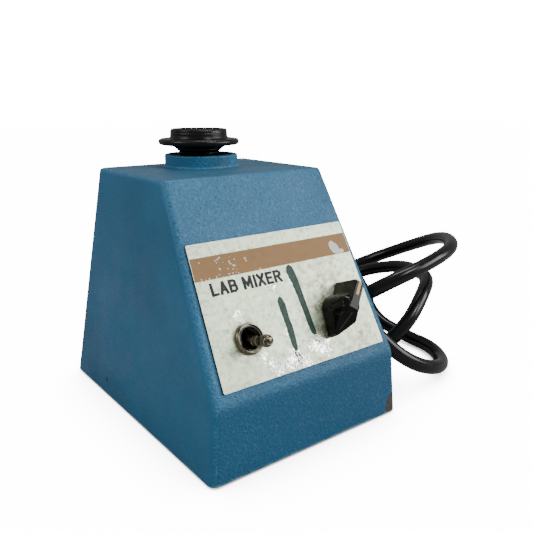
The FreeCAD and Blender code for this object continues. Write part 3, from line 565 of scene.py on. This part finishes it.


# ---------------------------------------------------------------- mains lead

# The lead in millimetres, on the same centre line as the CAD's.
CORD_D = 9.0
GLAND = (58.923, 50.0, 36.0)
EXIT_DIRECTION = Vector((1.0, 0.0, 0.08125)).normalized()
CORD_START = 3.0
CORD_STRAIGHT = 35.0
CORD_ROUTE = [
    (126, 64, 29), (158, 65, 33), (183, 48, 45),
    (192, 20, 59), (187, -8, 71), (171, -31, 76), (148, -50, 76), (115, -55, 71),
    (86, -46, 61), (68, -20, 40), (66, 6, 21), (74, 29, 12), (91, 47, 11),
    (112, 56, 18), (134, 53, 28), (153, 36, 41), (159, 5, 51), (152, -18, 54),
    (138, -40, 55), (118, -52, 51), (99, -57, 37), (83, -50, 21), (71, -32, 9),
    (66, -6, 6), (68, 27, 7), (71, 59, 7), (81, 87, 6), (102, 104, 6),
    (129, 107, 7), (153, 95, 7), (166, 72, 6), (164, 45, 5), (148, 23, 5),
    (123, 9, 13), (95, 9, 29), (70, 30, 47), (66, 68, 54), (91, 98, 55),
    (129, 100, 54), (157, 73, 48), (157, 38, 31), (142, 12, 12), (145, -18, 5),
    (144, -42, 5), (131, -62, 5), (111, -73, 9), (89, -73, 17), (72, -64, 31),
    (65, -48, 48), (68, -23, 60), (69, 5, 56), (67, 26, 38), (67, 44, 22),
    (69, 66, 14), (72, 89, 13), (72, 112, 13),
]


def mains_lead():
    start = Vector(GLAND)
    route = [start + EXIT_DIRECTION * CORD_START, start + EXIT_DIRECTION * CORD_STRAIGHT]
    route += [Vector(p) for p in CORD_ROUTE]
    curve = bpy.data.curves.new("mains_lead", "CURVE")
    curve.dimensions = "3D"
    spline = curve.splines.new("NURBS")
    spline.points.add(len(route) - 1)
    for point, place in zip(spline.points, route):
        point.co = (*(place * MM), 1.0)
    spline.order_u = 3
    spline.use_endpoint_u = True
    spline.resolution_u = 10
    curve.bevel_depth = CORD_D * MM / 2
    curve.bevel_resolution = 8
    curve.use_fill_caps = True
    curve.materials.append(SLOT_LOOKS["cord_rubber"])
    lead = bpy.data.objects.new("mains_lead", curve)
    scene.collection.objects.link(lead)
    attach(lead, "housing")
    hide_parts("power_cord")


mains_lead()


# ---------------------------------------------------------------- printing and paint on the panel plate


def plate_edge(s):
    """Half the plate's width at a height up the slope."""
    t = (s - PLATE_LOW[0]) / (PLATE_HIGH[0] - PLATE_LOW[0])
    return (PLATE_LOW[1] + (PLATE_HIGH[1] - PLATE_LOW[1]) * t) / 2


BAND = (58.9, 70.2)
UNDER_PRINT = (0.80, 0.86, 0.74)


def tan_band():
    low, high = BAND
    inset = 0.25
    outline = [
        (-plate_edge(low) + inset, low), (plate_edge(low) - inset, low),
        (plate_edge(high) - inset, high), (-plate_edge(high) + inset, high),
    ]
    look = printed("band_ink", (0.37, 0.20, 0.070), UNDER_PRINT, wear=0.70)
    new_piece("printed_band", film("printed_band", outline), "housing", "panel_aluminium", look)


def ragged_spot(x, s, width, height, lean=0.0, roughness=0.12, steps=28):
    """An uneven oval outline."""
    outline = []
    wobble = [1 + random.uniform(-roughness, roughness) for _ in range(steps)]
    for k in range(steps):
        a = 2 * math.pi * k / steps
        r = (wobble[k] + wobble[k - 1]) / 2
        u, v = width / 2 * r * math.cos(a), height / 2 * r * math.sin(a)
        across = u * math.cos(lean) - v * math.sin(lean)
        upward = u * math.sin(lean) + v * math.cos(lean)
        outline.append((x + across, s + upward))
    return outline


def band_wear():
    """Places where the band is rubbed through to the pale metal."""
    look = printed("rubbed_metal", (0.86, 0.90, 0.84), (0.50, 0.50, 0.36), wear=0.64)
    rubs = [(39.6, 62.6, 5.2, 8.6, 0.45), (43.4, 60.2, 4.6, 2.6, 0.2), (38.4, 65.2, 3.6, 3.2, 0.0)]
    spots = list(rubs)
    for _ in range(26):
        x = random.gauss(-30.0, 7.5)
        s = random.uniform(BAND[0] + 0.6, BAND[1] - 0.6)
        size = random.uniform(0.3, 1.0)
        spots.append((x, s, size, size * random.uniform(0.6, 1.5), random.uniform(0, 3)))
    for _ in range(10):
        size = random.uniform(0.4, 1.1)
        spots.append((random.uniform(-47, -12), BAND[0] + random.uniform(-0.1, 0.9), size, size * 1.4, 0.0))
    for k, (x, s, width, height, lean) in enumerate(spots):
        outline = ragged_spot(x, s, width, height, lean, 0.16 if k < len(rubs) else 0.3)
        piece = film(f"rubbed_spot_{k:02d}", outline, 0.02 + 0.0005 * k, PLATE_FACE + 0.03)
        new_piece(f"rubbed_spot_{k:02d}", piece, "housing", "panel_aluminium", look)


def paint_stroke(name, path):
    """One brushed mark, given as (x, s, half width) down its middle."""
    line = eased([list(p) for p in path], 7)
    left, right = [], []
    for x, s, half in line:
        wobble = random.uniform(-0.10, 0.10) * half
        left.append((x - half - wobble, s))
        right.append((x + half - wobble * 0.5, s))
    outline = left + right[::-1]
    look = printed(f"{name}_paint", (0.004, 0.055, 0.034), UNDER_PRINT, wear=0.74, rough=0.45)
    new_piece(name, film(name, outline, 0.09), "housing", "panel_aluminium", look)


def paint_strokes():
    paint_stroke("long_mark", [
        (5.3, 58.6, 0.25), (5.2, 57.6, 1.9), (5.4, 54.5, 2.6), (6.1, 50.0, 2.3), (6.4, 44.0, 1.7),
        (6.9, 36.0, 1.6), (7.3, 30.0, 1.65), (7.6, 25.0, 1.7), (7.9, 22.0, 1.6), (8.3, 20.6, 0.9),
    ])
    paint_stroke("short_mark", [
        (-6.2, 43.6, 0.3), (-6.3, 42.6, 1.5), (-6.2, 40.0, 2.1), (-6.0, 36.5, 2.0), (-6.0, 32.0, 1.7),
        (-5.6, 27.0, 1.9), (-6.0, 22.0, 1.8), (-6.0, 18.0, 1.5), (-5.9, 15.6, 0.8),
    ])
    scraps = [(-6.9, 14.0, 0.9, 3.2), (-5.0, 13.4, 1.0, 2.2), (-6.6, 10.8, 0.7, 1.9), (-4.2, 11.6, 0.5, 1.0),
              (7.9, 17.6, 0.8, 1.3), (9.4, 16.9, 0.7, 1.0), (8.8, 15.6, 0.5, 1.1), (-5.4, 9.0, 0.5, 0.9)]
    look = printed("scrap_paint", (0.008, 0.070, 0.046), UNDER_PRINT, wear=0.60, rough=0.45)
    for k, (x, s, width, height) in enumerate(scraps):
        piece = film(f"paint_scrap_{k}", ragged_spot(x, s, width, height, 0.2, 0.25), 0.06)
        new_piece(f"paint_scrap_{k}", piece, "housing", "panel_aluminium", look)


# Each letter is a list of strokes in a box 1 wide and 1 high.
LETTERS = {
    "L": [[(0, 1), (0, 0)], [(0, 0), (0.85, 0)]],
    "A": [[(0, 0), (0.5, 1)], [(1, 0), (0.5, 1)], [(0.2, 0.3), (0.8, 0.3)]],
    "B": [[(0, 0), (0, 1)], [(0, 1), (0.65, 1), (0.9, 0.88), (0.9, 0.65), (0.65, 0.53), (0, 0.53)],
          [(0.65, 0.53), (1, 0.38), (1, 0.14), (0.7, 0), (0, 0)]],
    "M": [[(0, 0), (0, 1)], [(1.25, 0), (1.25, 1)], [(0, 1), (0.62, 0.25)], [(1.25, 1), (0.62, 0.25)]],
    "I": [[(0.1, 0), (0.1, 1)]],
    "X": [[(0, 0), (1, 1)], [(0, 1), (1, 0)]],
    "E": [[(0, 0), (0, 1)], [(0, 1), (0.85, 1)], [(0, 0.52), (0.75, 0.52)], [(0, 0), (0.85, 0)]],
    "R": [[(0, 0), (0, 1)], [(0, 1), (0.7, 1), (0.95, 0.86), (0.95, 0.64), (0.7, 0.5), (0, 0.5)],
          [(0.5, 0.5), (1, 0)]],
    "O": [[(0.3, 0), (0, 0.25), (0, 0.75), (0.3, 1), (0.7, 1), (1, 0.75), (1, 0.25), (0.7, 0), (0.3, 0)]],
    "N": [[(0, 0), (0, 1)], [(0, 1), (1, 0)], [(1, 0), (1, 1)]],
    "F": [[(0, 0), (0, 1)], [(0, 1), (0.85, 1)], [(0, 0.52), (0.7, 0.52)]],
}


# The ink's underside and top over the plate, in millimetres. Strokes that meet take turns at
# INK_LAYERS heights, so that no two faces coincide.
INK_LOW = 0.006
INK_HIGH = 0.024
INK_LAYERS = 7
INK_STEP = 0.0015
STROKE_OVERRUN = 0.9
LYING_STROKE = 0.8


def ink_stroke(bm, a, b, weight, level):
    """One straight stroke of a letter, from a to b on the panel."""
    along = (b - a).normalized() * weight * 0.5
    upright = abs(along.y) > abs(along.x)
    side = Vector((-along.y, along.x)) * (1.0 if upright else LYING_STROKE)
    start, end = a - along * STROKE_OVERRUN, b + along * STROKE_OVERRUN
    lift = PLATE_FACE + INK_STEP * level
    slab(bm, [start + side, start - side, end - side, end + side], lift + INK_LOW, lift + INK_HIGH)


def lettering(name, words, x, s, width, height, gap, weight, ink, wear):
    """Plain words printed on the plate in heavy strokes, their lower left corner at x, s."""
    bm = bmesh.new()
    level = 0
    for letter in words:
        if letter == " ":
            x += width * 0.8
            continue
        reach = 0.0
        for path in LETTERS[letter]:
            for (ax, ay), (bx, by) in zip(path, path[1:]):
                a = Vector((x + ax * width, s + ay * height))
                b = Vector((x + bx * width, s + by * height))
                level = (level + 1) % INK_LAYERS
                ink_stroke(bm, a, b, weight, level)
                reach = max(reach, ax, bx)
        x += reach * width + gap
    new_piece(name, finished(bm, name, smooth=False), "housing", "panel_aluminium",
              printed(name + "_ink", ink, UNDER_PRINT, wear))


def all_lettering():
    lettering("title_words", "LAB MIXER", -42.3, 51.4, 3.3, 5.1, 2.1, 1.6, (0.004, 0.008, 0.012), 0.68)
    lettering("on_mark", "ON", -43.2, 32.6, 1.2, 1.9, 0.8, 0.30, (0.30, 0.34, 0.27), 0.50)
    lettering("off_mark", "OFF", -42.6, 21.6, 1.2, 1.9, 0.8, 0.30, (0.30, 0.34, 0.27), 0.50)


tan_band()
band_wear()
paint_strokes()
all_lettering()


# ---------------------------------------------------------------- knob

KNOB_VOXEL = 0.24 * MM


def worn_inlay():
    """The pointer line: paint still cream on the fin, worn and dark along the beak."""
    g = Graph("worn_inlay")
    along_knob = (ACROSS * math.cos(KNOB_TURN) + UPSLOPE * math.sin(KNOB_TURN)).normalized()
    centre = KNOB_AT.dot(along_knob)
    kept = g.ramp(g.maths("SUBTRACT", g.along(g.place, along_knob), centre), -1.0 * MM, 1.0 * MM)
    cream = g.blend(g.noise(600, 3.0), (0.62, 0.33, 0.13), (0.84, 0.55, 0.27))
    g.set(Base_Color=g.blend(kept, (0.035, 0.022, 0.012), cream))
    g.set(Roughness=g.ramp(g.noise(300), 0.3, 0.7, 0.3, 0.5))
    g.set(Normal=g.bump(g.noise(900), 0.03 * MM, 0.5))
    return g.material


def knob():
    """The moulded knob, with every edge softened."""
    piece = new_piece("pointer_knob", nodes["speed_knob"].data.copy(), "knob", "black_phenolic")
    solid = piece.modifiers.new("one_moulding", "REMESH")
    solid.mode = "VOXEL"
    solid.voxel_size = KNOB_VOXEL
    solid.use_smooth_shade = True
    soft = piece.modifiers.new("rounded", "SMOOTH")
    soft.factor = 0.5
    soft.iterations = 4
    bpy.context.view_layer.update()
    done = bpy.data.meshes.new_from_object(piece.evaluated_get(bpy.context.evaluated_depsgraph_get()))
    piece.modifiers.clear()
    piece.data = done
    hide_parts("speed_knob")


knob()
nodes["knob_indicator_line"].data.materials.clear()
nodes["knob_indicator_line"].data.materials.append(worn_inlay())


# ---------------------------------------------------------------- return spring


def spring():
    """The same coils as the CAD spring."""
    piece = new_piece("pressed_spring", nodes["return_spring"].data.copy(), "housing", "steel_bare")
    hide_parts("return_spring")
    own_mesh(piece)


spring()


# ---------------------------------------------------------------- rubber cup


def rubber_cup():
    """The mixing cup: stem, cone, rolled flange, upright ring and the dish that takes a tube's end."""
    stem = eased([
        (6.15, 135.7), (10.3, 135.7), (10.8, 136.6), (10.9, 140.8), (11.8, 142.4), (14.6, 144.9),
        (18.8, 145.9),
    ])
    lip_r, lip_z, roll, sweep, steps = 21.5, 147.6, 1.72, 88, 12
    lip = []
    for k in range(steps + 1):
        a = math.radians(-sweep + 2 * sweep * k / steps)
        lip.append((lip_r + roll * math.cos(a), lip_z + roll * math.sin(a)))
    ring = eased([
        (19.6, 149.45), (17.4, 149.4), (16.6, 149.8), (16.45, 151.5), (16.3, 153.6), (15.9, 154.75),
        (15.0, 154.85), (14.3, 154.3), (13.2, 152.4), (10.5, 149.5), (6.0, 147.2), (0, 146.5),
    ])
    inside = [(0, 144.2), (6.15, 144.2), (6.15, 135.7)]
    mesh = turned("mixing_cup", stem + lip + ring + inside, 128, Matrix.Translation((PIN_AT.x, PIN_AT.y, 0)))
    piece = new_piece("mixing_cup", mesh, "cup", "black_rubber")
    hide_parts("rubber_cup")


rubber_cup()


# ---------------------------------------------------------------- toggle lever


def toggle_bat():
    place = Matrix.Translation(TOGGLE_AT) @ PANEL_TURN @ Matrix.Rotation(TOGGLE_LEAN, 4, "X")
    mesh = turned("toggle_bat", eased([
        (0, -6.0), (1.2, -6.0), (1.25, -3.2), (3.3, -2.2), (3.5, 0.0), (3.1, 2.2), (2.75, 4.6), (2.5, 8.0),
        (2.3, 11.5), (2.2, 14.2), (2.5, 16.0), (3.05, 17.6), (3.05, 19.4), (2.4, 21.2), (1.2, 21.85),
        (0, 21.9),
    ], 5), 64, place)
    piece = new_piece("toggle_bat", mesh, "toggle", "chrome_worn")
    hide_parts("toggle_lever")


toggle_bat()


# ---------------------------------------------------------------- floor and light


def shown_white(tree, shown, lighting):
    """For the stage only: camera rays get one shader, the light that reaches the object another."""
    path = tree.nodes.new("ShaderNodeLightPath")
    pick = tree.nodes.new("ShaderNodeMixShader")
    tree.links.new(path.outputs["Is Camera Ray"], pick.inputs[0])
    tree.links.new(lighting, pick.inputs[1])
    tree.links.new(shown, pick.inputs[2])
    return pick.outputs[0]


# The camera sees WHITE and BACKDROP_WHITE. The object is lit by FLOOR_SHADE and ROOM_LIGHT.
FLOOR_SHADE = 0.4
FLOOR_SIZE = 8.0
FLOOR_DROP = 0.0002
# Reach and darkness of the painted shadow around the object on the floor.
PAINTED_SHADOW_REACH = 0.045
PAINTED_SHADOW_DARK = 0.45
WHITE = 15.5
BACKDROP_WHITE = 1.3 * WHITE
ROOM_LIGHT = 0.28


def floor():
    bpy.ops.mesh.primitive_plane_add(size=FLOOR_SIZE, location=(0, 0, -FLOOR_DROP))
    ground = bpy.context.object
    ground.name = "ground"
    g = Graph("pale_floor")
    g.set(Base_Color=(FLOOR_SHADE, FLOOR_SHADE, FLOOR_SHADE, 1.0), Roughness=0.8, Specular_IOR_Level=0.0)
    # Painted shadow: the floor the camera sees glows less where ambient occlusion finds the object close.
    near = g.node("ShaderNodeAmbientOcclusion", samples=12)
    near.inputs["Distance"].default_value = PAINTED_SHADOW_REACH
    glow = g.node("ShaderNodeEmission")
    g.put(g.ramp(near.outputs["AO"], 0.15, 0.98, PAINTED_SHADOW_DARK, WHITE), glow.inputs["Strength"])
    shown = shown_white(g.tree, glow.outputs[0], g.shader.outputs[0])
    g.tree.links.new(shown, g.tree.nodes["Material Output"].inputs["Surface"])
    ground.data.materials.append(g.material)


def light(name, place, target, size, radiance):
    """A softbox of a set brightness."""
    data = bpy.data.lights.new(name, "AREA")
    data.shape = "RECTANGLE"
    data.size, data.size_y = size
    data.energy = radiance * math.pi * size[0] * size[1]
    lamp = bpy.data.objects.new(name, data)
    lamp.location = place
    aim = Vector(target) - Vector(place)
    lamp.rotation_euler = aim.to_track_quat("-Z", "Y").to_euler()
    scene.collection.objects.link(lamp)


def lights():
    world = bpy.data.worlds.new("studio")
    scene.world = world
    world.use_nodes = True
    tree = world.node_tree
    around = tree.nodes["Background"]
    around.inputs["Color"].default_value = (1.0, 1.0, 1.0, 1.0)
    around.inputs["Strength"].default_value = ROOM_LIGHT
    shown = tree.nodes.new("ShaderNodeBackground")
    shown.inputs["Strength"].default_value = BACKDROP_WHITE
    seen = shown_white(tree, shown.outputs[0], around.outputs[0])
    tree.links.new(seen, tree.nodes["World Output"].inputs["Surface"])
    light("right_front", (0.85, -0.80, 0.58), (0, -0.05, 0.07), (0.8, 0.6), 6.0)
    light("front_high", (0.20, -0.75, 1.00), (0, -0.02, 0.08), (0.35, 0.30), 11.0)
    light("left_high", (-0.9, 0.15, 0.85), (0, 0, 0.07), (0.6, 0.5), 4.2)
    light("over", (0.25, 0.15, 1.1), (0.1, 0, 0.05), (0.45, 0.25), 7.0)


floor()
lights()
